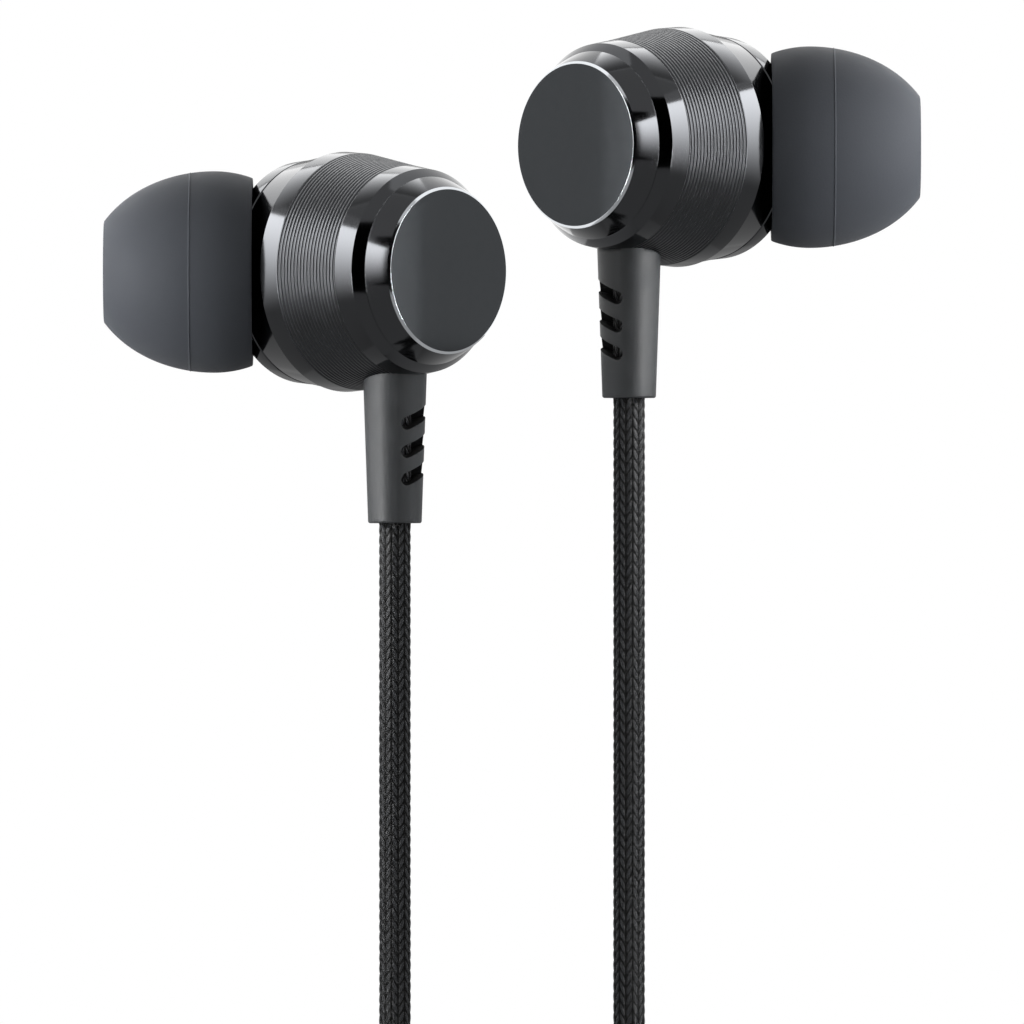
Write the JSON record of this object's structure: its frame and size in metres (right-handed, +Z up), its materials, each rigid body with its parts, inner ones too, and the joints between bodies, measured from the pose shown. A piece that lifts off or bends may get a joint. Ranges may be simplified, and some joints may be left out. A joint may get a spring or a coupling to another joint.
{
  "type": "wired in-ear earphones",
  "caption": "Wired in-ear earphones: dark turned-metal earpieces with angled nozzles, silicone tips, slotted strain reliefs, braided cord, Y-split and 3.5 mm plug.",
  "frame": {"origin": "centre of the left ear tip's widest section, on the nozzle's axis", "axes": "-X out of the left ear tip's mouth, -Y towards the viewer of the earpieces' rear caps, +Z up; the leads hang down -Z"},
  "size_m": [0.051, 0.0192, 0.1543],
  "materials": {
    "tip_silicone": "matte silicone",
    "shell_metal": "dark anodised, polished",
    "mesh_steel": "satin",
    "damper_foam": "matte foam",
    "barrel_metal": "dark anodised, polished bands and finely turned grooves",
    "cap_metal": "dark anodised satin with bright chamfer",
    "relief_rubber": "matte",
    "driver_steel": "plain steel",
    "gasket_foam": "matte",
    "driver_plastic": "matte",
    "magnet_metal": "nickel-plated",
    "coil_copper": "copper wire",
    "diaphragm_film": "clear film",
    "board_green": "circuit board",
    "cord_braid": "braided, charcoal",
    "tie_fabric": "woven strap",
    "contact_gold": "gold-plated"
  },
  "bodies": {
    "body": {"left_front_shell": "shell_metal", "left_nozzle_mesh": "mesh_steel", "left_nozzle_damper": "damper_foam", "left_barrel": "barrel_metal", "left_rear_cap": "cap_metal", "left_strain_relief": "relief_rubber", "left_driver_cover": "driver_steel", "left_driver_gasket": "gasket_foam", "left_driver_frame": "driver_plastic", "left_driver_yoke": "driver_steel", "left_driver_magnet": "magnet_metal", "left_pole_plate": "driver_steel", "left_driver_board": "board_green", "left_conductors": "coil_copper", "left_cord_core": "cord_braid", "left_cord_stop": "driver_steel", "right_front_shell": "shell_metal", "right_nozzle_mesh": "mesh_steel", "right_nozzle_damper": "damper_foam", "right_barrel": "barrel_metal", "right_rear_cap": "cap_metal", "right_strain_relief": "relief_rubber", "right_driver_cover": "driver_steel", "right_driver_gasket": "gasket_foam", "right_driver_frame": "driver_plastic", "right_driver_yoke": "driver_steel", "right_driver_magnet": "magnet_metal", "right_pole_plate": "driver_steel", "right_driver_board": "board_green", "right_conductors": "coil_copper", "right_cord_core": "cord_braid", "right_cord_stop": "driver_steel", "left_lead": "cord_braid", "left_lead_coil": "cord_braid", "right_lead": "cord_braid", "right_lead_coil": "cord_braid", "main_cord": "cord_braid", "main_coil": "cord_braid", "cord_tie": "tie_fabric", "y_split_core": "relief_rubber", "y_split_sleeve": "barrel_metal", "plug_boot": "relief_rubber", "plug_shell": "barrel_metal", "plug_insulator": "driver_plastic", "plug_sleeve_contact": "contact_gold", "plug_ring_contact": "contact_gold", "plug_tip_contact": "contact_gold"},
    "left_tip": {"left_ear_tip": "tip_silicone"},
    "left_moving_coil": {"left_voice_coil": "coil_copper", "left_diaphragm": "diaphragm_film"},
    "right_tip": {"right_ear_tip": "tip_silicone"},
    "right_moving_coil": {"right_voice_coil": "coil_copper", "right_diaphragm": "diaphragm_film"}
  },
  "joints": [
    {"name": "left_tip_pull", "type": "slide", "parent": "body", "child": "left_tip", "axis": [-1, 0, 0], "range_m": [0, 0.009]},
    {"name": "left_diaphragm_travel", "type": "slide", "parent": "body", "child": "left_moving_coil", "axis": [-0.7071, 0.7071, 0], "range_m": [-0.00015, 0.00015], "stiffness_N_per_m": 100},
    {"name": "right_tip_pull", "type": "slide", "parent": "body", "child": "right_tip", "axis": [1, 0, 0], "range_m": [0, 0.009]},
    {"name": "right_diaphragm_travel", "type": "slide", "parent": "body", "child": "right_moving_coil", "axis": [0.7071, 0.7071, 0], "range_m": [-0.00015, 0.00015], "stiffness_N_per_m": 100}
  ]
}
